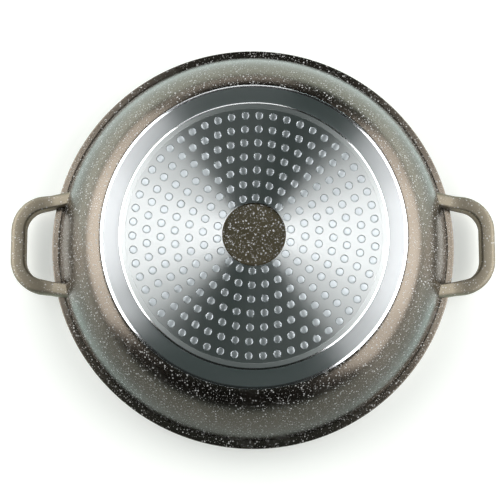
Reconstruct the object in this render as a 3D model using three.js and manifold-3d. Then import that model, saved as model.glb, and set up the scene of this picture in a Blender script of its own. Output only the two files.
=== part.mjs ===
// Low cast-aluminium cooking pot with two loop handles and a perforated steel induction base.
// Millimetres, +Z up. The origin is the middle of the face that the pot stands on, the handles lie along X.

import * as THREE from 'three';
import { mergeVertices } from 'three/addons/utils/BufferGeometryUtils.js';
import Module from 'manifold-3d';

// Steel plate, which the pot stands on
const plateRadius = 92;
const plateThickness = 1.2;
const plateBevel = 0.4;
const plateEdgeBand = 5.8;

// Holes in the plate, in rings round the centre
const holeRadius = 2.8;
const holeRingPitch = 9.56;
const holeInnerMargin = 0.7;
const innerRingHoles = 18;
const holesAddedPerRing = 6;
const holeTurn = THREE.MathUtils.degToRad(2.55);

// Coated medallion, sunk into the middle of the plate
const medallionRadius = 21.5;
const medallionThickness = 1;
const medallionRecess = 1.5;

// Bare turned ring round the plate
const ringWidth = 12.1;
const ringThickness = 2.4;
const ringChamferWidth = 2.6;
const ringChamferHeight = 1.5;
const plateProud = 1;

// Cast bowl
const rimRadius = 145;
const potHeight = 72;
const floorThickness = 6;
const wallThickness = 3.6;
const footGroove = 0.3;
const skirtWidth = 0.4;
const skirtDrop = 0.8;
const floorCornerRise = 9;

// The wall leaves the foot at one slope and reaches the rim at another, each over its own length
const footSlope = THREE.MathUtils.degToRad(22);
const footReach = 19;
const rimSlope = THREE.MathUtils.degToRad(73);
const rimReach = 26;

// Stepped rim: a ledge and a rounded shoulder outside, and inside it the seat for a lid
const lipWidth = 5.8;
const lipHeight = 17;
const ledgeWidth = 4.4;
const ledgeRise = 1.2;
const shoulderHeight = 7;
const rimRound = 2;
const rimWidth = 5;
const lidSeatDepth = 10;

// Loop handles
const handleReach = 29;
const handleRise = 7.8;
const handleThickness = 13.5;
const barWidth = 10.4;
const armWidth = 9.5;
const armSpan = 70.9;
const armLean = THREE.MathUtils.degToRad(7.5);
const cornerEase = 20;
const gussetSlope = THREE.MathUtils.degToRad(14);
const edgeRound = 3;

// Clearances
const seatGap = 0.3;
const plateGap = 0.8;

// Facets
const turnSegments = 60;
const holeSegments = 8;
const wallSteps = 8;
const cornerSteps = 3;
const bendSteps = 6;

// Levels and radii that follow from the sizes above
const ringInner = plateRadius + plateGap;
const ringOuter = ringInner + ringWidth;
const ringSeat = plateProud + ringThickness;
const spigotRadius = ringInner - seatGap;
const pocketRadius = medallionRadius + seatGap;
const pocketRoof = medallionRecess + medallionThickness;
const floorLevel = plateThickness + floorThickness;
const skirtInner = ringOuter + footGroove;
const skirtLevel = ringSeat - skirtDrop;
const lipRadius = rimRadius - lipWidth;
const lipLevel = potHeight - lipHeight;
const mouthRadius = rimRadius - rimWidth;
const lidSeatLevel = potHeight - lidSeatDepth;

const coating = new THREE.MeshStandardMaterial({ color: 0x6b6053, roughness: 0.45, metalness: 0.1 });
const darkCoating = new THREE.MeshStandardMaterial({ color: 0x4a4032, roughness: 0.5, metalness: 0.1 });
const bareAluminium = new THREE.MeshStandardMaterial({ color: 0xccd0d2, roughness: 0.25, metalness: 1 });
const steel = new THREE.MeshStandardMaterial({ color: 0xb4babb, roughness: 0.32, metalness: 1 });

const wasm = await Module();
wasm.setup();

// A closed mesh with its shared corners merged and its empty triangles at the poles left out
function solidFrom(geometry) {
  const bare = geometry.clone();
  bare.deleteAttribute('normal');
  bare.deleteAttribute('uv');
  const merged = mergeVertices(bare);
  const corners = merged.index.array;
  const triangles = [];
  for (let i = 0; i < corners.length; i += 3) {
    const [a, b, c] = corners.slice(i, i + 3);
    if (a !== b && b !== c && c !== a) triangles.push(a, b, c);
  }
  const vertProperties = new Float32Array(merged.attributes.position.array);
  const triVerts = new Uint32Array(triangles);
  return new wasm.Manifold(new wasm.Mesh({ numProp: 3, vertProperties, triVerts }));
}

function geometryFrom(solid) {
  const mesh = solid.getMesh();
  const geometry = new THREE.BufferGeometry();
  geometry.setAttribute('position', new THREE.BufferAttribute(mesh.vertProperties, 3));
  geometry.setIndex(new THREE.BufferAttribute(mesh.triVerts, 1));
  geometry.computeVertexNormals();
  return geometry;
}

// Turns a profile of [radius, height] points about Z
function turned(profile) {
  const points = profile.map(([radius, height]) => new THREE.Vector2(radius, height));
  return new THREE.LatheGeometry(points, turnSegments).rotateX(Math.PI / 2);
}

function named(name, geometry, material) {
  const mesh = new THREE.Mesh(geometry, material);
  mesh.name = name;
  return mesh;
}

// Outside of the wall, from the foot to the root of the lip
function wallCurve() {
  const foot = new THREE.Vector2(skirtInner + skirtWidth, skirtLevel);
  const root = new THREE.Vector2(lipRadius, lipLevel);
  const leaving = new THREE.Vector2(Math.cos(footSlope), Math.sin(footSlope)).multiplyScalar(footReach);
  const arriving = new THREE.Vector2(Math.cos(rimSlope), Math.sin(rimSlope)).multiplyScalar(rimReach);
  return new THREE.CubicBezierCurve(foot, foot.clone().add(leaving), root.clone().sub(arriving), root);
}

function outerWall() {
  return wallCurve().getPoints(wallSteps).map((point) => [point.x, point.y]);
}

// Ledge, shoulder, outer face and rounded top of the rim
function lip() {
  const ledgeEnd = lipRadius + ledgeWidth;
  const ledgeLevel = lipLevel + ledgeRise;
  const shoulderLevel = ledgeLevel + (rimRadius - ledgeEnd) * ledgeRise / ledgeWidth;
  const top = new THREE.Path();
  top.moveTo(ledgeEnd, ledgeLevel);
  top.quadraticCurveTo(rimRadius, shoulderLevel, rimRadius, lipLevel + shoulderHeight);
  top.lineTo(rimRadius, potHeight - rimRound);
  top.quadraticCurveTo(rimRadius, potHeight, rimRadius - rimRound, potHeight);
  top.lineTo(mouthRadius, potHeight);
  return top.getPoints(cornerSteps).map((point) => [point.x, point.y]);
}

// Inside of the bowl, from the lid seat down to the floor
// The wall keeps one thickness until it bends into the floor
function innerWall() {
  const curve = wallCurve();
  const inward = (t) => {
    const along = curve.getTangent(t);
    const point = curve.getPoint(t);
    return new THREE.Vector2(point.x - along.y * wallThickness, point.y + along.x * wallThickness);
  };
  const shares = Array.from({ length: wallSteps + 1 }, (_, step) => 1 - step / wallSteps);
  const kept = shares.filter((t) => inward(t).y > floorLevel + floorCornerRise);
  const top = inward(1);
  const seat = [top.x + (lidSeatLevel - top.y) / Math.tan(rimSlope), lidSeatLevel];
  const lowest = inward(kept.at(-1));
  const along = curve.getTangent(kept.at(-1));
  const bend = new THREE.Vector2(lowest.x - along.x * (lowest.y - floorLevel) / along.y, floorLevel);
  const floorEnd = new THREE.Vector2(bend.x - lowest.distanceTo(bend), floorLevel);
  const corner = new THREE.QuadraticBezierCurve(lowest, bend, floorEnd).getPoints(cornerSteps);
  const wall = [...kept.slice(0, -1).map(inward), ...corner];
  return [seat, ...wall.map((point) => [point.x, point.y])];
}

function potBody() {
  return turned([
    [0, pocketRoof],
    [pocketRadius, pocketRoof],
    [pocketRadius, plateThickness],
    [spigotRadius, plateThickness],
    [spigotRadius, ringSeat],
    [skirtInner, ringSeat],
    [skirtInner, skirtLevel],
    ...outerWall(),
    ...lip(),
    [mouthRadius, lidSeatLevel],
    ...innerWall(),
    [0, floorLevel],
  ]);
}

function footRing() {
  return turned([
    [ringInner, ringSeat],
    [ringInner, plateProud],
    [ringOuter - ringChamferWidth, plateProud],
    [ringOuter, plateProud + ringChamferHeight],
    [ringOuter, ringSeat],
    [ringInner, ringSeat],
  ]);
}

// Steel disc with a hole for the medallion and rings of small holes out to its plain edge
function inductionPlate() {
  const disc = turned([
    [pocketRadius, plateThickness],
    [pocketRadius, 0],
    [plateRadius - plateBevel, 0],
    [plateRadius, plateBevel],
    [plateRadius, plateThickness],
    [pocketRadius, plateThickness],
  ]);
  const drillLength = 3 * plateThickness;
  const drill = new THREE.CylinderGeometry(holeRadius, holeRadius, drillLength, holeSegments);
  drill.rotateX(Math.PI / 2);
  const drillSolid = solidFrom(drill);
  const innermost = pocketRadius + holeInnerMargin + holeRadius;
  const outermost = plateRadius - plateEdgeBand - holeRadius;
  const holes = [];
  for (let ring = 0; innermost + ring * holeRingPitch <= outermost; ring += 1) {
    const radius = innermost + ring * holeRingPitch;
    const count = innerRingHoles + holesAddedPerRing * ring;
    for (let hole = 0; hole < count; hole += 1) {
      const angle = holeTurn + Math.PI / 2 + (hole / count) * 2 * Math.PI;
      holes.push(drillSolid.translate([radius * Math.cos(angle), radius * Math.sin(angle), 0]));
    }
  }
  return geometryFrom(solidFrom(disc).subtract(wasm.Manifold.union(holes)));
}

function medallion() {
  return turned([
    [0, medallionRecess],
    [medallionRadius, medallionRecess],
    [medallionRadius, pocketRoof],
    [0, pocketRoof],
  ]);
}

// Centre line of a handle in plan, from one root round the bar to the other root
function handleLine() {
  const barX = rimRadius + handleReach - barWidth / 2;
  const cornerX = barX - cornerEase;
  const rootX = skirtInner;
  const lean = Math.tan(armLean);
  const armY = (x) => (armSpan - armWidth) / 2 + lean * (cornerX - x);
  const bendY = armY(barX);
  const line = new THREE.Path();
  line.moveTo(rootX, -armY(rootX));
  line.lineTo(rimRadius, -armY(rimRadius));
  line.lineTo(cornerX, -armY(cornerX));
  line.quadraticCurveTo(barX, -bendY, barX, cornerEase - bendY);
  line.lineTo(barX, bendY - cornerEase);
  line.quadraticCurveTo(barX, bendY, cornerX, armY(cornerX));
  line.lineTo(rimRadius, armY(rimRadius));
  line.lineTo(rootX, armY(rootX));
  return line.getPoints(bendSteps);
}

// Rounded rectangle across the bar, as [sideways, height] pairs
function handleSection(width, low, high) {
  const side = width / 2;
  const cut = edgeRound * (1 - Math.SQRT1_2);
  const half = [
    [side - edgeRound, low],
    [side - cut, low + cut],
    [side, low + edgeRound],
    [side, high - edgeRound],
    [side - cut, high - cut],
    [side - edgeRound, high],
  ];
  return [...half, ...half.map(([x, z]) => [-x, z]).reverse()];
}

// Joins equal rings of points, one after another, and closes both ends
function lofted(rings) {
  const count = rings[0].length;
  const corner = (ring, place) => ring * count + (place % count);
  const index = [];
  for (let ring = 0; ring + 1 < rings.length; ring += 1) {
    for (let place = 0; place < count; place += 1) {
      const [a, b] = [corner(ring, place), corner(ring, place + 1)];
      const [c, d] = [corner(ring + 1, place + 1), corner(ring + 1, place)];
      index.push(a, c, b, a, d, c);
    }
  }
  const last = rings.length - 1;
  for (let place = 1; place + 1 < count; place += 1) {
    index.push(corner(0, 0), corner(0, place), corner(0, place + 1));
    index.push(corner(last, 0), corner(last, place + 1), corner(last, place));
  }
  const geometry = new THREE.BufferGeometry();
  geometry.setAttribute('position', new THREE.Float32BufferAttribute(rings.flat(2), 3));
  geometry.setIndex(index);
  return geometry;
}

// One handle on the +X side: its roots deepen into gussets and end on the wall, under the lip
function handle() {
  const points = handleLine();
  const high = lipLevel + handleRise;
  const rings = points.map((point, place) => {
    const before = points[Math.max(place - 1, 0)];
    const after = points[Math.min(place + 1, points.length - 1)];
    const along = after.clone().sub(before).normalize();
    const outward = THREE.MathUtils.clamp((point.x - rimRadius) / (handleReach - barWidth / 2), 0, 1);
    const low = high - handleThickness - Math.max(rimRadius - point.x, 0) * Math.tan(gussetSlope);
    const width = THREE.MathUtils.lerp(armWidth, barWidth, outward);
    const across = ([side, z]) => [point.x + along.y * side, point.y - along.x * side, z];
    return handleSection(width, low, high).map(across);
  });
  const clear = ([radius, height]) => [radius + seatGap, height - seatGap];
  const outside = [...outerWall(), ...lip()].map(clear);
  const bowl = turned([[0, skirtLevel - seatGap], ...outside, [0, potHeight]]);
  return geometryFrom(solidFrom(lofted(rings)).subtract(solidFrom(bowl)));
}

const pot = new THREE.Group();
pot.add(named('pot_body', potBody(), coating));
pot.add(named('foot_ring', footRing(), bareAluminium));
pot.add(named('induction_plate', inductionPlate(), steel));
pot.add(named('medallion', medallion(), darkCoating));
const rightHandle = named('right_handle', handle(), coating);
const leftHandle = named('left_handle', rightHandle.geometry, coating);
leftHandle.rotation.z = Math.PI;
pot.add(rightHandle, leftHandle);

export default pot;
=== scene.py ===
"""Low cooking pot: a speckled coated bowl with loop handles, a turned ring and a perforated induction plate.

All sizes are in metres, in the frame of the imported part: +Z up, the handles along X and the base plate at the
origin.
"""

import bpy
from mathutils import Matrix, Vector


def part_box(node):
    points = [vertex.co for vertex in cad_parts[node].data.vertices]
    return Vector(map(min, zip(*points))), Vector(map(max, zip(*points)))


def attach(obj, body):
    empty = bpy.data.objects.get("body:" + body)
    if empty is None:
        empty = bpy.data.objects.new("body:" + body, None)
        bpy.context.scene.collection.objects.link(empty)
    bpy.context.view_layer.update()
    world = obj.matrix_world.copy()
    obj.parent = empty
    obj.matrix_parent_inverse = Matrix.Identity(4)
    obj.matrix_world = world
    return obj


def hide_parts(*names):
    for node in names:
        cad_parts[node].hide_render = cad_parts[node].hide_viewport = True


bl_info = {
    "name": "Cooking Pot",
    "version": (1, 0, 0),
    "blender": (4, 5, 0),
    "location": "View3D > Sidebar > Cooking Pot",
    "description": "Models a coated low pot with an induction base around its construction frame",
    "category": "Add Mesh",
}

import math

import bmesh
import bpy
from bpy.props import FloatProperty, FloatVectorProperty, IntProperty, PointerProperty
from mathutils import Matrix, Vector

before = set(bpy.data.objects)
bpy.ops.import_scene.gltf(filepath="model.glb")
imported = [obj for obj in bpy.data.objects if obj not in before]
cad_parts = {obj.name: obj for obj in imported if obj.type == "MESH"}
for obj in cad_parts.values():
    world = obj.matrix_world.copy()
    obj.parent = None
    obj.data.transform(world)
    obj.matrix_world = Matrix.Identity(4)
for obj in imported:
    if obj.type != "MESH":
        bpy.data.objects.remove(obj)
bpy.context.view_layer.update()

MM = 0.001
BODY_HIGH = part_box("pot_body")[1]
RING_LOW, RING_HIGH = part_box("foot_ring")
PLATE_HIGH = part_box("induction_plate")[1]
MEDALLION_LOW, MEDALLION_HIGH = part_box("medallion")
HANDLE_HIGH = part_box("right_handle")[1]

# Gap between the plate and the ring, and how much wider the medallion is than its solid
RING_GAP = 0.12 * MM
MEDALLION_SPREAD = 0.22 * MM

# Distance under which corners are merged, and under which they lie on the mirror's plane
MERGED = 0.001 * MM
ON_PLANE = 0.01 * MM

# Steps in the curves of the bowl's outline
WALL_STEPS = 28
SHOULDER_STEPS = 8
RIM_STEPS = 6
CORNER_STEPS = 10

CARD_SEGMENTS = 128
SENSOR_WIDTH = 36


def length(name, description, default):
    return FloatProperty(name=name, description=description, default=default, unit="LENGTH", precision=5)


def span(name, description, default):
    return FloatVectorProperty(name=name, description=description, default=default, size=2, unit="LENGTH")


def zone(name, description, default):
    return FloatVectorProperty(name=name, description=description, default=default, size=2)


def angle(name, description, degrees):
    return FloatProperty(name=name, description=description, default=math.radians(degrees), subtype="ANGLE")


def share(name, description, default):
    return FloatProperty(name=name, description=description, default=default, subtype="FACTOR", min=0, max=1)


def level(name, description, default):
    return FloatProperty(name=name, description=description, default=default, min=0)


def count(name, description, default):
    return IntProperty(name=name, description=description, default=default, min=1)


def colour(name, description, default):
    return FloatVectorProperty(
        name=name, description=description, default=default, subtype="COLOR", size=3, min=0, max=1
    )


class BowlSizes(bpy.types.PropertyGroup):
    """Sizes of the cast bowl"""

    rim_radius: length("Rim radius", "Outside of the rim", BODY_HIGH.x)
    height: length("Height", "From the base to the top of the rim", BODY_HIGH.z)
    floor: length("Floor", "Thickness of the floor above the plate", 6 * MM)
    wall: length("Wall", "Thickness of the wall", 3.6 * MM)
    foot_groove: length("Foot groove", "Gap between the turned ring and the wall's foot", 0.08 * MM)
    skirt_width: length("Skirt width", "Thickness of the wall's foot", 0.06 * MM)
    skirt_drop: length("Skirt drop", "How far the foot hangs below the ring's seat", 0.8 * MM)
    foot_slope: angle("Foot slope", "Slope of the wall where it leaves the foot", 22)
    foot_reach: length("Foot reach", "How far the wall keeps the slope of its foot", 19 * MM)
    rim_slope: angle("Rim slope", "Slope of the wall where it meets the rim", 73)
    rim_reach: length("Rim reach", "How far the wall keeps the slope of its top", 26 * MM)
    lip_width: length("Lip width", "How far the rim stands out from the wall", 5.6 * MM)
    lip_height: length("Lip height", "Height of the stepped rim", 17 * MM)
    ledge_width: length("Ledge width", "Width of the ledge under the rim", 5.2 * MM)
    ledge_root: length("Ledge root", "Width of the ledge's flatter part beside the wall", 0.9 * MM)
    root_rise: length("Root rise", "How far that part rises outwards", 0.11 * MM)
    ledge_rise: length("Ledge rise", "How far the whole ledge rises outwards", 1.16 * MM)
    shoulder: length("Shoulder", "Height from the lip's root to the end of its shoulder", 3.5 * MM)
    rim_round: length("Rim rounding", "Rounding of the rim's outer edge", 2 * MM)
    rim_width: length("Rim width", "Width of the rim outside the lid", 5 * MM)
    lid_seat: length("Lid seat", "Depth of the lid's seat below the rim", 10 * MM)
    mouth_round: length("Mouth rounding", "Rounding of the rim's inner edge", 0.8 * MM)
    seat_round: length("Seat rounding", "Rounding of the lid seat's edges", 0.6 * MM)
    spigot_gap: length("Spigot gap", "Gap between the floor's spigot and the turned ring", 0.3 * MM)
    floor_corner: length("Floor corner", "Height at which the inner wall bends into the floor", 10 * MM)
    segments: count("Segments", "Steps round the bowl", 192)


class HandleSizes(bpy.types.PropertyGroup):
    """Sizes of the loop handles"""

    reach: length("Reach", "Outside of the bar from the pot's axis", 174.0 * MM)
    top: length("Top", "Level of the handles' upper face", HANDLE_HIGH.z)
    thickness: length("Thickness", "Height of the bar", 13.5 * MM)
    bar_width: length("Bar width", "Width of the bar", 10.4 * MM)
    arm_width: length("Arm width", "Width of the arms", 9.5 * MM)
    arm_span: length("Arm span", "Width over both arms at the corners", 70.9 * MM)
    lean: angle("Lean", "How far the arms spread towards the bowl", 9.5)
    corner: length("Corner", "Radius of the bends, in the middle of the bar", 20 * MM)
    corner_ease: length("Corner ease", "Where the arms' width is measured, inwards from the bar", 20 * MM)
    gusset: angle("Gusset", "Slope of the arms' lower face under the rim", 16)
    root_step: length("Root step", "Length of each step in which an arm deepens under the rim", 3 * MM)
    root_steps: count("Root steps", "Number of those steps", 7)
    bend_steps: count("Bend steps", "Steps in each bend", 14)
    outer_round: length("Outer rounding", "Rounding of the outer edges", 3.2 * MM)
    outer_steps: count("Outer steps", "Steps in that rounding", 6)
    inner_round: length("Inner rounding", "Rounding of the edges inside the loop", 1.6 * MM)
    inner_steps: count("Inner steps", "Steps in that rounding", 4)
    draft: length("Draft", "How far the lower face rises towards the outside", 1.2 * MM)
    sink: length("Sink", "How far the arms end inside the bowl's wall", 0.4 * MM)


class BaseSizes(bpy.types.PropertyGroup):
    """Sizes of the turned ring, the plate, its plugs and the medallion"""

    ring_inner: length("Ring inside", "Inner radius of the turned ring", PLATE_HIGH.x + RING_GAP)
    ring_outer: length("Ring outside", "Outer radius of the turned ring", RING_HIGH.x)
    ring_face: length("Ring face", "Level of the ring's face", RING_LOW.z)
    ring_seat: length("Ring seat", "Level of the ring's back", RING_HIGH.z)
    ring_dish: length("Ring dish", "How far the ring's face rises outwards", 0.4 * MM)
    chamfer_width: length("Chamfer width", "Width of the ring's outer chamfer", 1.8 * MM)
    chamfer_height: length("Chamfer height", "Height of the ring's outer chamfer", 0.9 * MM)
    chamfer_round: length("Chamfer rounding", "Rounding between the ring's face and its chamfer", 0.12 * MM)
    ring_round: length("Ring rounding", "Rounding of the ring's other edges", 0.15 * MM)
    plate_radius: length("Plate radius", "Outside of the plate", PLATE_HIGH.x)
    plate_thickness: length("Plate thickness", "Thickness of the plate", PLATE_HIGH.z)
    bevel_width: length("Bevel width", "Width of the plate's bevelled edge", 1.2 * MM)
    bevel_height: length("Bevel height", "Height of the plate's bevelled edge", 0.65 * MM)
    bevel_round: length("Bevel rounding", "Rounding at both ends of that bevel", 0.1 * MM)
    plate_round: length("Plate rounding", "Rounding of the edge of the plate's middle hole", 0.25 * MM)
    band_width: length("Band width", "Width of the polished band at the plate's edge", 4.4 * MM)
    band_groove: length("Band groove", "Depth and width of the groove inside that band", 0.2 * MM)
    edge_margin: length("Edge margin", "Plain edge of the plate outside its holes", 5.8 * MM)
    hole_radius: length("Hole radius", "Radius of the plate's holes", 2.8 * MM)
    hole_pitch: length("Hole pitch", "Distance between the rings of holes", 9.56 * MM)
    hole_margin: length("Hole margin", "Metal between the middle hole and the first ring", 0.7 * MM)
    first_holes: count("First ring", "Holes in the innermost ring", 18)
    added_holes: count("Added holes", "Holes that each ring has more than the last", 6)
    hole_turn: angle("Hole turn", "Direction of each ring's first hole", 92.55)
    hole_segments: count("Hole segments", "Sides of a hole", 20)
    plug_gap: length("Plug gap", "Gap round a plug", 0.16 * MM)
    plug_recess: length("Plug recess", "How far a plug's face lies inside the plate", 0.1 * MM)
    plug_flat: length("Plug flat", "Radius of a plug's flat middle", 2 * MM)
    plug_shoulder: length("Plug shoulder", "Height of a plug's rounded shoulder", 0.35 * MM)
    plug_bend: length("Plug bend", "How far the middle of that shoulder drops", 0.1 * MM)
    plug_steps: count("Plug steps", "Steps in that shoulder", 2)
    plug_segments: count("Plug segments", "Sides of a plug", 14)
    medallion_radius: length(
        "Medallion radius", "Outside of the medallion", MEDALLION_HIGH.x + MEDALLION_SPREAD
    )
    medallion_face: length("Medallion face", "Level of the medallion's face", MEDALLION_LOW.z)
    medallion_back: length("Medallion back", "Level of the medallion's back", MEDALLION_HIGH.z)
    medallion_gap: length("Medallion gap", "Gap round the medallion", 0.08 * MM)
    medallion_edge: length("Medallion edge", "Width of the medallion's chamfered edge", 0.8 * MM)
    medallion_round: length("Medallion rounding", "Rounding between the face and that edge", 0.3 * MM)
    medallion_side: length("Medallion side", "Rounding between that edge and the side", 0.2 * MM)
    segments: count("Segments", "Steps round the ring and the plate", 192)


class Finishes(bpy.types.PropertyGroup):
    """Colours and grain of the finishes"""

    coating: colour("Coating", "Ground of the speckled coating", (0.12, 0.103, 0.084))
    coating_edge: share("Coating edge", "How much of the coating's gloss is left at a grazing view", 0.7)
    coating_roughness: share("Coating roughness", "Roughness of the coating on the bowl", 0.27)
    coating_flecks: share("Coating flecks", "How many places for flecks hold one on the bowl", 0.55)
    handle_coating: colour("Handle coating", "Ground of the coating on the handles", (0.215, 0.19, 0.145))
    handle_edge: share("Handle edge", "How much of the handles' gloss is left at a grazing view", 0.3)
    handle_roughness: share("Handle roughness", "Roughness of the coating on the handles", 0.57)
    handle_flecks: share("Handle flecks", "How many places for flecks hold one on the handles", 0.5)
    medallion: colour("Medallion", "Ground of the medallion's coating", (0.155, 0.133, 0.088))
    medallion_roughness: share("Medallion roughness", "Roughness of the medallion's coating", 0.45)
    medallion_flecks: share("Medallion flecks", "How many places for flecks hold one on the medallion", 0.9)
    fleck: colour("Fleck", "Flecks in the coating", (0.52, 0.52, 0.51))
    large_fleck: length("Large fleck", "Radius of the largest flecks", 0.64 * MM)
    large_cell: length("Large cell", "Distance between the places for large flecks", 1.7 * MM)
    small_fleck: length("Small fleck", "Radius of the largest of the small flecks", 0.33 * MM)
    small_cell: length("Small cell", "Distance between the places for small flecks", 1 * MM)
    fleck_stray: length("Fleck stray", "How far a fleck's outline strays from a circle", 0.45 * MM)
    aluminium: colour("Aluminium", "Bare turned aluminium", (0.92, 0.94, 0.96))
    aluminium_roughness: share("Aluminium roughness", "Roughness of the turned ring", 0.385)
    steel: colour("Steel", "Bare brushed steel", (0.92, 0.95, 0.95))
    steel_roughness: share("Steel roughness", "Roughness of the plate", 0.49)
    band: colour("Band", "Polished edge of the plate", (0.95, 0.98, 0.98))
    band_roughness: share("Band roughness", "Roughness of that edge across its marks", 0.53)
    plug: colour("Plug", "Base metal in the plate's holes", (0.9, 0.95, 0.98))
    plug_roughness: share("Plug roughness", "Roughness of the plugs across their marks", 0.64)
    polish_roughness: share("Polish roughness", "Roughness of the polished bevels", 0.15)
    ring_marks: length("Ring marks", "Distance between the tool marks on the ring", 0.35 * MM)
    plate_marks: length("Plate marks", "Distance between the tool marks on the plate", 0.25 * MM)
    mark_depth: length("Mark depth", "Depth of the tool marks", 0.01 * MM)
    polish_depth: length("Polish depth", "Depth of the marks on the polished bevels", 0.001 * MM)


class StageSetup(bpy.types.PropertyGroup):
    """Camera, lamps and backdrop"""

    lens: FloatProperty(name="Lens", description="Focal length in millimetres", default=96.4)
    eye: FloatVectorProperty(
        name="Eye", description="Place of the camera", default=(-9.6 * MM, 138 * MM, -899.5 * MM),
        subtype="TRANSLATION", unit="LENGTH",
    )
    aim: FloatVectorProperty(
        name="Aim", description="Turn of the camera",
        default=(math.radians(188.04), math.radians(0.435), 0), subtype="EULER",
    )
    lamp_distance: length("Lamp distance", "From the pot to the side lamps", 0.9)
    side_lamps: level("Side lamps", "Radiance of the lamps at both sides, in their middle", 4.7)
    lamp_middle: share("Lamp middle", "How much of it comes from the panels in their middle", 0.27)
    back_lamp: level("Back lamp", "Radiance of the low lamp behind the pot", 1.5)
    top_lamp: level("Top lamp", "Radiance of the lamp over the open bowl", 8)
    sky: level("Sky", "Light from the side of the bowl's mouth", 0.5)
    sky_zone: zone("Sky zone", "Rise of the directions between which that light starts", (0, 0.25))
    ground: level("Ground", "Light from straight below the base", 0.095)
    ground_tint: colour("Ground tint", "Tint of that light", (0.78, 1.0, 0.94))
    ground_zone: zone("Ground zone", "Rise of the directions between which that light starts", (-0.55, -0.95))
    ground_beside: level("Ground beside", "Light from below at the sides", 0.008)
    card_reach: length("Card reach", "Radius of the table and of the floor", 4)
    table_overlap: length("Table overlap", "How far the table reaches in under the rim", 6 * MM)
    table: share("Table", "Brightness of the white table", 0.62)
    table_roughness: share("Table roughness", "Roughness of the table", 0.3)
    table_depth: span("Table depth", "From the table's front to its back", (0.15, -0.15))
    table_glow: level("Table glow", "White that the table shows without light", 0.4)
    # Painted light and shadow: the table glows more behind the pot and away from it, so a painted shadow lies
    # round the pot between these radii
    painted_light_behind: level("Glow behind", "White that the table shows more behind the pot", 0.12)
    painted_light_far: level("Glow far", "White that the table shows more away from the pot", 0.36)
    painted_shadow_zone: span("Glow zone", "Radii between which that glow grows", (0.155, 0.215))
    table_shine: level("Table shine", "White of the table in reflections", 0.14)
    # Painted reflection: these make the table brighter in reflections beside the pot, close to the rim and
    # behind it, and less bright close to the rim at the handles, a painted shade on them
    painted_reflection_beside: level("Shine beside", "How much more of it shows beside the pot", 0.5)
    beside_zone: span("Beside zone", "Radii between which that shine grows", (0.16, 0.17))
    beside_front: share("Beside in front", "How much of it is left in front of the pot", 0.16)
    beside_growth: level("Beside growth", "How fast it grows from the front to the back", 2.8)
    painted_reflection_near: level("Shine near", "How much more of it shows close to the rim", 2.4)
    near_zone: span("Near zone", "Radii between which that shine grows", (0.175, 0.155))
    near_behind: share("Near behind", "How much of it is left behind the pot", 0.2)
    near_handles: share("Near the handles", "How much of it is left at the handles", 0.75)
    handle_zone: span("Handle zone", "Distances from the handles' middle where they end", (0.03, 0.05))
    painted_reflection_behind: level("Shine behind", "How much more of it shows behind the pot", 0.88)
    # Painted shade: a surface closer to the table than these distances mirrors none of its shine
    painted_contact_shade: span("Shine contact", "Distances over which a mirrored shine sets in", (0.017, 0.021))
    table_tint: colour("Table tint", "Tint of the table", (0.975, 1.0, 0.965))
    # Painted reflection colour: in reflections the table takes these tints instead of its own
    painted_tint_behind: colour("Tint behind", "Tint of the table's back in reflections", (0.79, 1.0, 0.99))
    painted_tint_front: colour("Tint in front", "Tint of the table's front in reflections", (0.62, 0.95, 1.0))
    floor: share("Floor", "Brightness of the pale floor", 0.8)
    floor_drop: length("Floor drop", "Gap between the base and the floor", 0.5 * MM)
    floor_hole: length("Floor hole", "Radius of the hole in the floor's middle", 1 * MM)
    floor_zone: span("Floor zone", "Radii between which the floor fades to white", (0.3, 1.2))


class PotSettings(bpy.types.PropertyGroup):
    """Everything that a user would change"""

    bowl: PointerProperty(type=BowlSizes)
    handle: PointerProperty(type=HandleSizes)
    base: PointerProperty(type=BaseSizes)
    finish: PointerProperty(type=Finishes)
    stage: PointerProperty(type=StageSetup)


class Value:
    """A socket that a number comes from. Arithmetic on it adds Math nodes."""

    def __init__(self, nodes, socket):
        self.nodes = nodes
        self.socket = socket

    def other(self, name):
        return Value(self.nodes, self.socket.node.outputs[name])

    def math(self, operation, first, second=0.0, clamp=False):
        settings = {"operation": operation, "use_clamp": clamp}
        return self.nodes.add("ShaderNodeMath", settings, {0: first, 1: second})

    def __add__(self, other):
        return self.math("ADD", self, other)

    def __radd__(self, other):
        return self.math("ADD", other, self)

    def __sub__(self, other):
        return self.math("SUBTRACT", self, other)

    def __rsub__(self, other):
        return self.math("SUBTRACT", other, self)

    def __mul__(self, other):
        return self.math("MULTIPLY", self, other)

    def __rmul__(self, other):
        return self.math("MULTIPLY", other, self)

    def __truediv__(self, other):
        return self.math("DIVIDE", self, other)

    def __rtruediv__(self, other):
        return self.math("DIVIDE", other, self)

    def __pow__(self, other):
        return self.math("POWER", self, other)

    def __rpow__(self, other):
        return self.math("POWER", other, self)

    def __lt__(self, other):
        return self.math("LESS_THAN", self, other)

    def __gt__(self, other):
        return self.math("GREATER_THAN", self, other)

    def __abs__(self):
        return self.math("ABSOLUTE", self)

    def clamped(self):
        return self.math("ADD", self, 0.0, clamp=True)

    def largest(self, other):
        return self.math("MAXIMUM", self, other)

    def ramp(self, start, end):
        """0 before the start, 1 past the end and even between them."""
        return ((self - start) / (end - start)).clamped()


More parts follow.
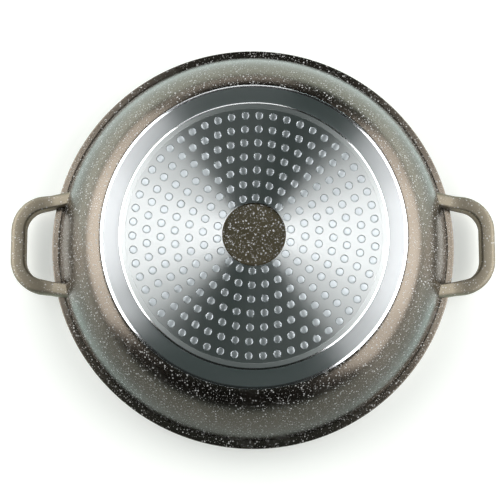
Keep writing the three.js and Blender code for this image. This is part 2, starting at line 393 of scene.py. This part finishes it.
class Nodes:
    """The node tree of a material or of the world, while it is made."""

    def __init__(self, owner):
        owner.use_nodes = True
        self.owner = owner
        self.tree = owner.node_tree
        self.tree.nodes.clear()

    def add(self, kind, settings=None, inputs=None, output=0):
        node = self.tree.nodes.new(kind)
        for name, value in (settings or {}).items():
            setattr(node, name, value)
        for name, value in (inputs or {}).items():
            if isinstance(value, Value):
                self.tree.links.new(value.socket, node.inputs[name])
            else:
                node.inputs[name].default_value = value
        return Value(self, node.outputs[output]) if len(node.outputs) else None

    def blend(self, factor, first, second):
        settings = {"data_type": "RGBA"}
        return self.add("ShaderNodeMix", settings, {0: factor, 6: first, 7: second}, output=2)

    def noise(self, place, scale, detail=2.0, roughness=0.5):
        inputs = {"Vector": place, "Scale": scale, "Detail": detail, "Roughness": roughness}
        return self.add("ShaderNodeTexNoise", None, inputs)

    def bump(self, height, strength, distance):
        inputs = {"Height": height, "Strength": strength, "Distance": distance}
        return self.add("ShaderNodeBump", None, inputs)

    def principled(self, **inputs):
        named = {name.replace("_", " ").title(): value for name, value in inputs.items()}
        return self.add("ShaderNodeBsdfPrincipled", None, named)

    def scaled(self, vector, scale):
        return self.add("ShaderNodeVectorMath", {"operation": "SCALE"}, {0: vector, "Scale": scale})

    def finish(self, surface, target="ShaderNodeOutputMaterial"):
        self.add(target, None, {"Surface": surface})
        return self.owner


def opaque(rgb):
    return (*rgb, 1.0)


def grey(brightness):
    return (brightness, brightness, brightness, 1.0)


def toned(rgb, strength):
    return tuple(min(1.0, strength * part) for part in rgb)


def around(nodes, place):
    """Each point's distance from the pot's axis, and its place across the handles."""
    parts = nodes.add("ShaderNodeSeparateXYZ", None, {0: place})
    across = parts.other("Y")
    return (parts * parts + across * across) ** 0.5, across


def flecks(nodes, place, cell, largest, kept):
    """1 on flecks up to the largest radius, scattered one to a cell at most, and 0 between them."""
    edge = 0.03
    smallest = 0.35
    cells = nodes.add("ShaderNodeTexVoronoi", None, {"Vector": place, "Scale": 1 / cell})
    luck = nodes.add("ShaderNodeSeparateColor", None, {"Color": cells.other("Color")})
    spread = smallest + (1 - smallest) * luck
    radius = spread * (largest / cell) * (luck.other("Green") < kept)
    return ((radius - cells) / edge).clamped()


def speckled_coating(name, look, ground, edge, kept, roughness):
    """Pearly brown coating with matt white flecks of two sizes and a slight orange peel."""
    large_kept = 0.9 * kept
    small_strength = 0.8
    cloud_light = 1.35
    cloud_roughness = 0.06
    fleck_roughness = 0.3
    fleck_height = 0.15
    nodes = Nodes(bpy.data.materials.new(name))
    place = nodes.add("ShaderNodeTexCoord", output="Object")
    wander = nodes.noise(place, scale=1000.0).other("Color")
    stray = nodes.scaled(wander, look.fleck_stray)
    strayed = nodes.add("ShaderNodeVectorMath", {"operation": "ADD"}, {0: place, 1: stray})
    large = flecks(nodes, strayed, look.large_cell, look.large_fleck, large_kept)
    small = flecks(nodes, strayed, look.small_cell, look.small_fleck, kept)
    mask = large.largest(small * small_strength)
    cloud = nodes.noise(place, scale=45.0, detail=4.0, roughness=0.6)
    base = nodes.blend(cloud, opaque(ground), opaque(toned(ground, cloud_light)))
    peel = nodes.noise(place, scale=700.0, detail=3.0, roughness=0.55)
    surface = nodes.principled(
        base_color=nodes.blend(mask, base, opaque(look.fleck)),
        metallic=1 - mask,
        roughness=roughness + cloud_roughness * (cloud - 0.5) + fleck_roughness * mask,
        normal=nodes.bump(peel + fleck_height * mask, strength=0.12, distance=0.3 * MM),
        specular_tint=grey(edge),
    )
    return nodes.finish(surface)


def turned_metal(name, look, tint, roughness, marks, brushing=0.0, turn=0.0):
    """Bare metal with fine concentric tool marks about Z, which are shallow where it isn't brushed."""
    depth = look.mark_depth if brushing else look.polish_depth
    stain_dark = 0.88
    stain_roughness = 0.08
    quarter_turn = 0.25
    nodes = Nodes(bpy.data.materials.new(name))
    place = nodes.add("ShaderNodeTexCoord", output="Object")
    radius = around(nodes, place)[0]
    lines = nodes.add(
        "ShaderNodeTexNoise", {"noise_dimensions": "1D"},
        {"W": radius, "Scale": 1 / marks, "Detail": 3.0, "Roughness": 0.7},
    )
    stain = nodes.noise(place, scale=28.0, detail=3.0, roughness=0.55)
    surface = nodes.principled(
        base_color=nodes.blend((lines + stain) / 2, opaque(toned(tint, stain_dark)), opaque(tint)),
        metallic=1.0,
        roughness=roughness + stain_roughness * (stain - 0.5),
        normal=nodes.bump(lines, strength=0.25, distance=depth),
        anisotropic=brushing,
        anisotropic_rotation=quarter_turn - turn,
    )
    return nodes.finish(surface)


def one_sided(nodes, front):
    """A card's surface, which shows from its front and lets everything through from behind."""
    clear = nodes.add("ShaderNodeBsdfTransparent")
    behind = nodes.add("ShaderNodeNewGeometry", output="Backfacing")
    return nodes.finish(nodes.add("ShaderNodeMixShader", None, {0: behind, 1: front, 2: clear}))


def floor_white(stage):
    """Plain pale card under the upright pot."""
    grain_dark = 0.97
    nodes = Nodes(bpy.data.materials.new("floor_white"))
    place = nodes.add("ShaderNodeTexCoord", output="Object")
    grain = nodes.noise(place, scale=40.0)
    tone = nodes.blend(grain, grey(grain_dark * stage.floor), grey(stage.floor))
    card = nodes.add("ShaderNodeBsdfDiffuse", None, {"Color": tone})
    white = nodes.add("ShaderNodeEmission", None, {"Color": grey(1)})
    radius = around(nodes, place)[0]
    far = radius.ramp(*stage.floor_zone)
    return one_sided(nodes, nodes.add("ShaderNodeMixShader", None, {0: far, 1: card, 2: white}))


def table_white(stage):
    """White table round the upturned pot. Its glow holds painted light: it glows more behind the pot and far
    from it, which leaves a painted shadow round the pot. In reflections it shows a painted reflection: it
    shines more close to the rim, beside the pot and behind it, less at the handles and right beside the
    surfaces that mirror it, and with a cooler tint than its own away from the handles."""
    nodes = Nodes(bpy.data.materials.new("table_white"))
    place = nodes.add("ShaderNodeTexCoord", output="Object")
    radius, across = around(nodes, place)
    behind = across.ramp(*stage.table_depth)
    back = (2 * behind - 1).clamped()
    beside = (stage.beside_growth * behind + stage.beside_front).clamped()
    past_handles = abs(across).ramp(*stage.handle_zone)

    # Painted light: more glow behind the pot and far from it, and a painted shadow round the pot where it glows
    # less
    glow = stage.table_glow + stage.painted_light_behind * behind
    glow = glow + stage.painted_light_far * radius.ramp(*stage.painted_shadow_zone)

    # Painted reflection: more shine in reflections close to the rim, beside the pot and behind it, and less
    # close to the rim at the handles as a painted shade
    near = radius.ramp(*stage.near_zone) * (1 - (1 - stage.near_behind) * back)
    near = near * (stage.near_handles + (1 - stage.near_handles) * past_handles)
    away = radius.ramp(*stage.beside_zone)
    shine = (stage.painted_reflection_beside * away + stage.painted_reflection_near * near) * beside
    shine = stage.table_shine + shine + stage.painted_reflection_behind * back

    camera = nodes.add("ShaderNodeLightPath", output="Is Camera Ray")
    reflected = camera.other("Is Glossy Ray").largest(camera.other("Is Transmission Ray"))
    # Painted shade: reflections within a short distance of the table get none of its shine
    clear = camera.other("Ray Length").ramp(*stage.painted_contact_shade)
    # Painted reflection colour: a cooler tint in reflections away from the handles
    painted_reflection_tint = nodes.blend(behind, opaque(stage.painted_tint_front), opaque(stage.painted_tint_behind))
    painted_reflection_tint = nodes.blend(past_handles, opaque(stage.table_tint), painted_reflection_tint)
    tint = nodes.blend(camera, painted_reflection_tint, opaque(stage.table_tint))
    white = nodes.scaled(tint, glow * camera + shine * clear * reflected)
    lit = nodes.add("ShaderNodeEmission", None, {"Color": white})
    tone = toned(stage.table_tint, stage.table)
    card = nodes.principled(base_color=opaque(tone), roughness=stage.table_roughness)
    return one_sided(nodes, nodes.add("ShaderNodeAddShader", None, {0: card, 1: lit}))


def curve(points, steps):
    """Points on the Bezier curve of these control points, without its first one."""
    made = []
    for step in range(1, steps + 1):
        at = step / steps
        row = list(points)
        while len(row) > 1:
            row = [a.lerp(b, at) for a, b in zip(row, row[1:])]
        made.append(row[0])
    return made


def eased(corners, steps=4):
    """An outline of (radius, level, rounding) corners, each with its corner rounded off."""
    spots = [Vector(corner[:2]) for corner in corners]
    made = []
    for at, corner in enumerate(corners):
        rounding = corner[2]
        if not rounding:
            made.append(spots[at])
            continue
        before = spots[at] + (spots[at - 1] - spots[at]).normalized() * rounding
        after = spots[at] + (spots[at + 1] - spots[at]).normalized() * rounding
        made += [before, *curve([before, spots[at], after], steps)]
    return made


def alone(piece):
    """Selects a piece and nothing else."""
    bpy.ops.object.select_all(action="DESELECT")
    piece.select_set(True)
    bpy.context.view_layer.objects.active = piece


def twin(piece):
    """A copy of a piece with a mesh of its own."""
    copy = piece.copy()
    copy.data = piece.data.copy()
    bpy.context.collection.objects.link(copy)
    return copy


def edit(piece):
    """Opens a piece alone in edit mode, with all of it selected."""
    alone(piece)
    bpy.ops.object.mode_set(mode="EDIT")
    bpy.ops.mesh.select_all(action="SELECT")


def closed(piece, smooth_degrees=35):
    """Leaves edit mode with the faces pointing out and the curved ones smooth."""
    bpy.ops.mesh.select_all(action="SELECT")
    bpy.ops.mesh.remove_doubles(threshold=MERGED)
    bpy.ops.mesh.normals_make_consistent(inside=False)
    bpy.ops.object.mode_set(mode="OBJECT")
    bpy.ops.object.shade_smooth_by_angle(angle=math.radians(smooth_degrees))
    return piece


def circle(name, segments, radius, height):
    """The circle round Z that a piece starts from, open in edit mode."""
    bpy.ops.object.select_all(action="DESELECT")
    bpy.ops.mesh.primitive_circle_add(vertices=segments, radius=radius, location=(0, 0, height))
    piece = bpy.context.object
    piece.name = name
    bpy.ops.object.transform_apply()
    edit(piece)
    return piece


def turned(name, outline, segments, hollow=False):
    """A piece turned about Z: a circle that is extruded from point to point of its outline.
    A hollow one joins its last circle to its first, any other has both ends filled."""
    piece = circle(name, segments, outline[0].x, outline[0].y)
    for before, after in zip(outline, outline[1:]):
        move = {"value": (0, 0, after.y - before.y)}
        bpy.ops.mesh.extrude_region_move(TRANSFORM_OT_translate=move)
        wider = after.x / before.x
        bpy.ops.transform.resize(value=(wider, wider, 1), center_override=(0, 0, 0))
    if hollow:
        bpy.ops.mesh.select_all(action="DESELECT")
        bpy.ops.mesh.select_non_manifold()
        bpy.ops.mesh.bridge_edge_loops()
    else:
        bpy.ops.mesh.select_all(action="SELECT")
        bpy.ops.mesh.fill_holes(sides=0)
    return closed(piece)


def cut(piece, tool):
    """Cuts the tool out of the piece and removes the tool."""
    alone(piece)
    modifier = piece.modifiers.new("Cut", "BOOLEAN")
    modifier.operation = "DIFFERENCE"
    modifier.solver = "EXACT"
    modifier.object = tool
    bpy.ops.object.modifier_apply(modifier=modifier.name)
    bpy.data.objects.remove(tool)


def ringed(piece, sizes):
    """Repeats a piece round Z in all the rings of the plate's pattern and joins the copies."""
    rings = []
    for radius, number in hole_rings(sizes):
        copy = twin(piece)
        alone(copy)
        copy.matrix_world = Matrix.Rotation(sizes.hole_turn, 4, "Z") @ Matrix.Translation((radius, 0, 0))
        bpy.ops.object.transform_apply()
        pivot = bpy.data.objects.new("ring_pivot", None)
        bpy.context.collection.objects.link(pivot)
        pivot.rotation_euler.z = 2 * math.pi / number
        array = copy.modifiers.new("Ring", "ARRAY")
        array.count = number
        array.use_relative_offset = False
        array.use_object_offset = True
        array.offset_object = pivot
        bpy.ops.object.modifier_apply(modifier=array.name)
        bpy.data.objects.remove(pivot)
        rings.append(copy)
    bpy.data.objects.remove(piece)
    alone(rings[0])
    for ring in rings:
        ring.select_set(True)
    bpy.ops.object.join()
    return rings[0]


def hole_rings(sizes):
    """(radius, number of holes) of each ring of holes, from the middle outwards."""
    inner = sizes.medallion_radius + sizes.medallion_gap + sizes.hole_margin + sizes.hole_radius
    outer = sizes.plate_radius - sizes.edge_margin - sizes.hole_radius
    number = 1 + int((outer - inner) / sizes.hole_pitch)
    return [
        (inner + ring * sizes.hole_pitch, sizes.first_holes + ring * sizes.added_holes)
        for ring in range(number)
    ]


def dress(piece, material, slot, *nodes):
    """Gives a finished piece its material and its body, and hides the imported parts that it stands for."""
    piece.data.materials.clear()
    piece.data.materials.append(material)
    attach(piece, "root")
    if nodes:
        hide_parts(*nodes)
    return piece


def heading(turn):
    return Vector((math.cos(turn), math.sin(turn)))


def wall_line(bowl, base):
    """Outside of the wall, from its foot to the root of the lip."""
    foot = Vector((base.ring_outer + bowl.foot_groove + bowl.skirt_width, base.ring_seat - bowl.skirt_drop))
    root = Vector((bowl.rim_radius - bowl.lip_width, bowl.height - bowl.lip_height))
    leaving = heading(bowl.foot_slope) * bowl.foot_reach
    arriving = heading(bowl.rim_slope) * bowl.rim_reach
    return [foot, *curve([foot, foot + leaving, root - arriving, root], WALL_STEPS)]


def outside_line(bowl, base):
    """Outside of the wall and of the stepped rim, from the foot to the rim's top edge."""
    wall = wall_line(bowl, base)
    root = wall[-1]
    flat = root + Vector((bowl.ledge_root, bowl.root_rise))
    ledge = root + Vector((bowl.ledge_width, bowl.ledge_rise))

    # Points close to each bend keep the shading of the stretches between them flat
    early = 0.1
    late = 0.85
    step = [root.lerp(flat, late), flat, flat.lerp(ledge, early), flat.lerp(ledge, late), ledge]
    rise = (bowl.rim_radius - ledge.x) * (ledge.y - flat.y) / (ledge.x - flat.x)
    bend = Vector((bowl.rim_radius, ledge.y + rise))
    face = Vector((bowl.rim_radius, root.y + bowl.shoulder))
    edge = Vector((bowl.rim_radius, bowl.height))
    rim = [edge - Vector((0, bowl.rim_round)), edge, edge - Vector((bowl.rim_round, 0))]
    shoulder = curve([ledge, bend, face], SHOULDER_STEPS)
    return [*wall, *step, *shoulder, rim[0], *curve(rim, RIM_STEPS)]


def inside_line(bowl, base):
    """Inside of the bowl, from the lid's seat down to its floor."""
    outer = wall_line(bowl, base)
    floor = base.plate_thickness + bowl.floor
    inner = []
    for before, after in zip(outer, outer[1:]):
        along = (after - before).normalized()
        inner.append((before + after) / 2 + Vector((-along.y, along.x)) * bowl.wall)
    inner = [spot for spot in reversed(inner) if spot.y > floor + bowl.floor_corner]
    along = (inner[-2] - inner[-1]).normalized()
    bend = inner[-1] - along * (inner[-1].y - floor) / along.y
    end = bend - Vector(((inner[-1] - bend).length, 0))
    along = (inner[0] - inner[1]).normalized()
    seat_level = bowl.height - bowl.lid_seat
    seat = inner[0] + along * (seat_level - inner[0].y) / along.y
    return [seat, *inner, *curve([inner[-1], bend, end], CORNER_STEPS)]


class PieceOperator:
    """What every operator of this file shares."""

    bl_options = {"REGISTER", "UNDO"}


class POT_OT_bowl(PieceOperator, bpy.types.Operator):
    """Turn the coated bowl with its stepped rim and lid seat"""

    bl_idname = "cooking_pot.bowl"
    bl_label = "Bowl"

    def execute(self, context):
        settings = context.scene.cooking_pot
        bowl = settings.bowl
        base = settings.base
        look = settings.finish
        pocket = base.medallion_radius + base.medallion_gap
        spigot = base.ring_inner - bowl.spigot_gap
        skirt = base.ring_outer + bowl.foot_groove
        mouth = bowl.rim_radius - bowl.rim_width
        seat = bowl.height - bowl.lid_seat
        under = [
            Vector((pocket, base.medallion_back)),
            Vector((pocket, base.plate_thickness)),
            Vector((spigot, base.plate_thickness)),
            Vector((spigot, base.ring_seat)),
            Vector((skirt, base.ring_seat)),
            Vector((skirt, base.ring_seat - bowl.skirt_drop)),
        ]
        inside = inside_line(bowl, base)
        rim = eased([
            (bowl.rim_radius - bowl.rim_round, bowl.height, 0),
            (mouth, bowl.height, bowl.mouth_round),
            (mouth, seat, bowl.seat_round),
            (inside[0].x, seat, bowl.seat_round),
            (inside[1].x, inside[1].y, 0),
        ])
        outline = [*under, *outside_line(bowl, base), *rim[1:], *inside[2:]]
        piece = turned("bowl", outline, bowl.segments)
        material = speckled_coating(
            "speckled_coating", look, look.coating, look.coating_edge,
            look.coating_flecks, look.coating_roughness,
        )
        dress(piece, material, "coating", "pot_body")
        return {"FINISHED"}


class POT_OT_handles(PieceOperator, bpy.types.Operator):
    """Sweep one loop handle, trim it to the wall and copy it to the other side"""

    bl_idname = "cooking_pot.handles"
    bl_label = "Loop handles"

    def execute(self, context):
        settings = context.scene.cooking_pot
        look = settings.finish
        right = self.loop(settings.handle, settings.bowl.rim_radius)
        cut(right, self.core(settings))
        edit(right)
        closed(right)
        left = twin(right)
        left.name = "left_loop_handle"
        edit(left)
        bpy.ops.transform.rotate(value=math.pi, orient_axis="Z", center_override=(0, 0, 0))
        bpy.ops.object.mode_set(mode="OBJECT")
        material = speckled_coating(
            "handle_coating", look, look.handle_coating, look.handle_edge,
            look.handle_flecks, look.handle_roughness,
        )
        dress(right, material, "coating", "right_handle")
        dress(left, material, "coating", "left_handle")
        return {"FINISHED"}

    def loop(self, sizes, rim_radius):
        """Half of the loop, from the middle of its bar to its root, mirrored across Y."""
        bar = sizes.reach - sizes.bar_width / 2
        middle = sizes.top - sizes.thickness / 2
        bpy.ops.object.select_all(action="DESELECT")
        upright = (math.radians(-90), 0, 0)
        bpy.ops.mesh.primitive_plane_add(size=1, location=(bar, 0, middle), rotation=upright)
        piece = bpy.context.object
        piece.name = "right_loop_handle"
        bpy.ops.object.transform_apply()
        edit(piece)
        section = (sizes.bar_width, 1, sizes.thickness)
        bpy.ops.transform.resize(value=section, center_override=(bar, 0, middle))
        self.pick(piece, lambda spot: spot.x > bar and spot.z < middle)
        bpy.ops.transform.translate(value=(0, 0, sizes.draft))
        self.pick(piece, lambda spot: spot.x > bar)
        bpy.ops.mesh.bevel(offset=sizes.outer_round, segments=sizes.outer_steps, affect="VERTICES")
        self.pick(piece, lambda spot: spot.x < bar)
        bpy.ops.mesh.bevel(offset=sizes.inner_round, segments=sizes.inner_steps, affect="VERTICES")
        bpy.ops.mesh.select_all(action="SELECT")

        # The bend starts where its tangents on the bar and on the arm are equally long
        turn = math.pi / 2 - sizes.lean
        arm_middle = (sizes.arm_span - sizes.arm_width) / 2 - math.tan(sizes.lean) * sizes.corner_ease
        straight = arm_middle - sizes.corner * math.tan(turn / 2)
        bpy.ops.mesh.extrude_region_move(TRANSFORM_OT_translate={"value": (0, straight, 0)})
        bend = Vector((bar - sizes.corner, straight))
        bpy.ops.mesh.spin(
            steps=sizes.bend_steps, dupli=False, angle=-turn, center=(bend.x, bend.y, 0), axis=(0, 0, 1)
        )

        # The arm narrows a little, then deepens under the rim
        spot = bend + sizes.corner * heading(turn)
        steps = [spot.x - rim_radius, *[sizes.root_step] * sizes.root_steps]
        depth = sizes.thickness
        for step, run in enumerate(steps):
            move = Vector((-run, run * math.tan(sizes.lean)))
            spot += move
            bpy.ops.mesh.extrude_region_move(TRANSFORM_OT_translate={"value": (move.x, move.y, 0)})
            if step == 0:
                narrow = sizes.arm_width / sizes.bar_width
                bpy.ops.transform.resize(value=(1, narrow, 1), center_override=(spot.x, spot.y, middle))
            else:
                deeper = depth + run * math.tan(sizes.gusset)
                centre = (spot.x, spot.y, sizes.top)
                bpy.ops.transform.resize(value=(1, 1, deeper / depth), center_override=centre)
                depth = deeper
        bpy.ops.mesh.select_mode(type="FACE")
        self.pick_faces(piece, lambda face: abs(face.calc_center_median().y) < ON_PLANE)
        bpy.ops.mesh.delete(type="ONLY_FACE")
        bpy.ops.mesh.select_mode(type="VERT")
        closed(piece)
        mirror = piece.modifiers.new("Both arms", "MIRROR")
        mirror.use_axis = (False, True, False)
        mirror.merge_threshold = ON_PLANE
        bpy.ops.object.modifier_apply(modifier=mirror.name)
        edit(piece)
        return closed(piece)

    def core(self, settings):
        """The bowl's outer shape as a solid, a little smaller than the bowl."""
        sink = Vector((-settings.handle.sink, settings.handle.sink))
        line = [spot + sink for spot in outside_line(settings.bowl, settings.base)]
        return turned("core", line, settings.bowl.segments)

    def pick(self, piece, wanted):
        """Selects the corners of the open piece whose place is wanted."""
        bpy.ops.object.mode_set(mode="OBJECT")
        for part in (*piece.data.edges, *piece.data.polygons):
            part.select = False
        for corner in piece.data.vertices:
            corner.select = wanted(corner.co)
        bpy.ops.object.mode_set(mode="EDIT")

    def pick_faces(self, piece, wanted):
        """Selects the faces of the open piece that are wanted."""
        mesh = bmesh.from_edit_mesh(piece.data)
        for face in mesh.faces:
            face.select_set(wanted(face))
        bmesh.update_edit_mesh(piece.data)


class POT_OT_ring(PieceOperator, bpy.types.Operator):
    """Turn the bare ring with its outer chamfer"""

    bl_idname = "cooking_pot.ring"
    bl_label = "Turned ring"

    def execute(self, context):
        settings = context.scene.cooking_pot
        base = settings.base
        look = settings.finish
        edge = base.ring_face + base.ring_dish
        outline = eased([
            (base.ring_inner, base.ring_seat, 0),
            (base.ring_inner, base.ring_face, base.ring_round),
            (base.ring_outer - base.chamfer_width, edge, base.chamfer_round),
            (base.ring_outer, edge + base.chamfer_height, base.ring_round),
            (base.ring_outer, base.ring_seat, 0),
        ])
        piece = turned("turned_ring", outline, base.segments, hollow=True)
        metal = turned_metal(
            "turned_aluminium", look, look.aluminium, look.aluminium_roughness, look.ring_marks, brushing=1.0
        )
        polish = turned_metal(
            "polished_chamfer", look, look.aluminium, look.polish_roughness, look.ring_marks
        )
        dress(piece, metal, "bare_aluminium", "foot_ring")
        piece.data.materials.append(polish)
        for face in piece.data.polygons:
            if face.center.xy.length > base.ring_outer - base.chamfer_width:
                face.material_index = 1
        return {"FINISHED"}


class POT_OT_plate(PieceOperator, bpy.types.Operator):
    """Turn the steel plate and drill its rings of holes"""

    bl_idname = "cooking_pot.plate"
    bl_label = "Perforated plate"

    def execute(self, context):
        settings = context.scene.cooking_pot
        base = settings.base
        look = settings.finish
        middle = base.medallion_radius + base.medallion_gap
        band = base.plate_radius - base.band_width
        bevel = base.plate_radius - base.bevel_width
        groove = base.band_groove
        outline = eased([
            (middle, base.plate_thickness, 0),
            (middle, 0, base.plate_round),
            (band - groove, 0, 0),
            (band, groove, 0),
            (band + groove, 0, 0),
            (bevel, 0, base.bevel_round),
            (base.plate_radius, base.bevel_height, base.bevel_round),
            (base.plate_radius, base.plate_thickness, 0),
        ])
        piece = turned("perforated_plate", outline, base.segments, hollow=True)
        bpy.ops.object.select_all(action="DESELECT")
        through = 4 * base.plate_thickness
        bpy.ops.mesh.primitive_cylinder_add(
            vertices=base.hole_segments, radius=base.hole_radius, depth=through
        )
        cut(piece, ringed(bpy.context.object, base))
        edit(piece)
        closed(piece)
        steel = turned_metal(
            "brushed_steel", look, look.steel, look.steel_roughness, look.plate_marks, brushing=1.0, turn=0.01
        )
        polished_band = turned_metal(
            "polished_band", look, look.band, look.band_roughness, look.plate_marks, brushing=0.85, turn=0.005
        )
        polished_bevel = turned_metal(
            "polished_bevel", look, look.band, look.polish_roughness, look.plate_marks
        )
        dress(piece, steel, "plate_steel", "induction_plate")
        piece.data.materials.append(polished_band)
        piece.data.materials.append(polished_bevel)
        for face in piece.data.polygons:
            radius = face.center.xy.length
            face.material_index = (radius > band) + (radius > bevel)
        return {"FINISHED"}


class POT_OT_plugs(PieceOperator, bpy.types.Operator):
    """Shape one plug of base metal and repeat it in every hole of the plate"""

    bl_idname = "cooking_pot.plugs"
    bl_label = "Plugs"

    def execute(self, context):
        settings = context.scene.cooking_pot
        base = settings.base
        look = settings.finish
        radius = base.hole_radius - base.plug_gap
        face = Vector((base.plug_flat, base.plug_recess))
        side = Vector((radius, base.plug_recess + base.plug_shoulder))
        bend = Vector(((face.x + radius) / 2, face.y + base.plug_bend))
        shoulder = curve([face, bend, side], base.plug_steps)
        outline = [face, *shoulder, Vector((radius, base.plate_thickness))]
        plug = turned("plug", outline, base.plug_segments)
        piece = ringed(plug, base)
        piece.name = "plate_plugs"
        metal = turned_metal(
            "plug_metal", look, look.plug, look.plug_roughness, look.plate_marks, brushing=0.85
        )
        dress(piece, metal, "bare_aluminium")
        return {"FINISHED"}


class POT_OT_medallion(PieceOperator, bpy.types.Operator):
    """Turn the coated medallion in the middle of the plate"""

    bl_idname = "cooking_pot.medallion"
    bl_label = "Medallion"

    def execute(self, context):
        settings = context.scene.cooking_pot
        base = settings.base
        look = settings.finish
        outline = eased([
            (base.medallion_radius - 2 * base.medallion_edge, base.medallion_face, 0),
            (base.medallion_radius - base.medallion_edge, base.medallion_face, base.medallion_round),
            (base.medallion_radius, base.medallion_face + base.medallion_edge / 2, base.medallion_side),
            (base.medallion_radius, base.medallion_back, 0),
        ])
        piece = turned("medallion_disc", outline, base.segments)
        material = speckled_coating(
            "medallion_coating", look, look.medallion, look.coating_edge,
            look.medallion_flecks, look.medallion_roughness,
        )
        dress(piece, material, "medallion_coating", "medallion")
        return {"FINISHED"}


class POT_OT_stage(PieceOperator, bpy.types.Operator):
    """Set the table, floor, lamps, world and camera"""

    bl_idname = "cooking_pot.stage"
    bl_label = "Stage"

    def execute(self, context):
        settings = context.scene.cooking_pot
        stage = settings.stage
        bowl = settings.bowl
        hole = bowl.rim_radius - stage.table_overlap
        table = self.card("table", bowl.height, hole, stage.card_reach, table_white(stage), facing=-1)
        floor = self.card(
            "floor", -stage.floor_drop, stage.floor_hole, stage.card_reach, floor_white(stage), facing=1
        )
        table.visible_diffuse = False
        table.visible_shadow = False
        floor.visible_diffuse = False
        floor.visible_glossy = False
        floor.visible_transmission = False
        floor.visible_shadow = False
        near = stage.lamp_distance
        middle = stage.lamp_middle * stage.side_lamps
        side = stage.side_lamps - middle
        self.lamp("left_lamp", bearing=195, rise=23.5, distance=near, size=(1.55, 0.68), radiance=side)
        self.lamp("left_middle", bearing=193, rise=23.5, distance=near, size=(0.65, 0.68), radiance=middle)
        self.lamp("right_lamp", bearing=0, rise=24.5, distance=near, size=(1.8, 0.72), radiance=side)
        self.lamp("right_middle", bearing=-3, rise=24.5, distance=near, size=(0.73, 0.72), radiance=middle)
        self.lamp("back_lamp", bearing=262, rise=9, distance=1.2, size=(0.9, 0.3), radiance=stage.back_lamp)
        self.lamp("top_lamp", bearing=0, rise=-90, distance=1.4, size=(0.75, 0.75), radiance=stage.top_lamp)
        self.world(stage)
        self.camera(stage)
        return {"FINISHED"}

    def card(self, name, height, hole, reach, material, facing):
        """A wide flat ring whose front is up or down."""
        piece = circle(name, CARD_SEGMENTS, hole, height)
        bpy.ops.mesh.extrude_region_move(TRANSFORM_OT_translate={"value": (0, 0, 0)})
        wider = reach / hole
        bpy.ops.transform.resize(value=(wider, wider, 1), center_override=(0, 0, height))
        bpy.ops.object.mode_set(mode="OBJECT")
        if piece.data.polygons[0].normal.z * facing < 0:
            piece.data.flip_normals()
        piece.data.materials.append(material)
        return piece

    def lamp(self, name, bearing, rise, distance, size, radiance):
        """A soft panel that faces the pot, at a bearing from +X and a rise that counts downwards."""
        data = bpy.data.lights.new(name, "AREA")
        data.shape = "RECTANGLE"
        data.size, data.size_y = size
        data.energy = radiance * math.pi * data.size * data.size_y
        lamp = bpy.data.objects.new(name, data)
        bpy.context.collection.objects.link(lamp)
        turn = math.radians(bearing)
        tilt = math.radians(rise)
        away = Vector((math.cos(turn) * math.cos(tilt), math.sin(turn) * math.cos(tilt), -math.sin(tilt)))
        lamp.location = away * distance
        lamp.rotation_euler = (-away).to_track_quat("-Z", "Y").to_euler()
        lamp.visible_camera = False

    def world(self, stage):
        """White behind everything, bright on the side of the mouth and dim on the side of the base."""
        nodes = Nodes(bpy.data.worlds.new("studio"))
        ray = nodes.add("ShaderNodeTexCoord", output="Generated")
        up = nodes.add("ShaderNodeSeparateXYZ", None, {0: ray}).other("Z")
        below = toned(stage.ground_tint, stage.ground)
        ground = nodes.blend(up.ramp(*stage.ground_zone), grey(stage.ground_beside), opaque(below))
        light = nodes.blend(up.ramp(*stage.sky_zone), ground, grey(stage.sky))
        seen = nodes.add("ShaderNodeLightPath", output="Is Camera Ray")
        tone = nodes.blend(seen, light, grey(1))
        background = nodes.add("ShaderNodeBackground", None, {"Color": tone})
        bpy.context.scene.world = nodes.finish(background, "ShaderNodeOutputWorld")

    def camera(self, stage):
        """The camera, under the pot, with the handles level in its view."""
        data = bpy.data.cameras.new("camera")
        data.lens = stage.lens
        data.sensor_width = SENSOR_WIDTH
        data.clip_start = 10 * MM
        camera = bpy.data.objects.new("camera", data)
        bpy.context.collection.objects.link(camera)
        camera.location = stage.eye
        camera.rotation_euler = stage.aim
        bpy.context.scene.camera = camera
        bpy.context.scene.view_settings.view_transform = "Standard"


PIECES = (
    POT_OT_bowl,
    POT_OT_handles,
    POT_OT_ring,
    POT_OT_plate,
    POT_OT_plugs,
    POT_OT_medallion,
    POT_OT_stage,
)


class POT_PT_pieces(bpy.types.Panel):
    """Lists the pieces of the pot in the sidebar"""

    bl_idname = "POT_PT_pieces"
    bl_label = "Cooking Pot"
    bl_space_type = "VIEW_3D"
    bl_region_type = "UI"
    bl_category = "Cooking Pot"

    def draw(self, context):
        for piece in PIECES:
            self.layout.operator(piece.bl_idname)


CLASSES = (BowlSizes, HandleSizes, BaseSizes, Finishes, StageSetup, PotSettings, *PIECES, POT_PT_pieces)


def register():
    for made in CLASSES:
        bpy.utils.register_class(made)
    bpy.types.Scene.cooking_pot = PointerProperty(type=PotSettings)


def unregister():
    del bpy.types.Scene.cooking_pot
    for made in reversed(CLASSES):
        bpy.utils.unregister_class(made)


def main():
    register()
    bpy.ops.cooking_pot.bowl()
    bpy.ops.cooking_pot.handles()
    bpy.ops.cooking_pot.ring()
    bpy.ops.cooking_pot.plate()
    bpy.ops.cooking_pot.plugs()
    bpy.ops.cooking_pot.medallion()
    bpy.ops.cooking_pot.stage()


if __name__ == "__main__":
    main()
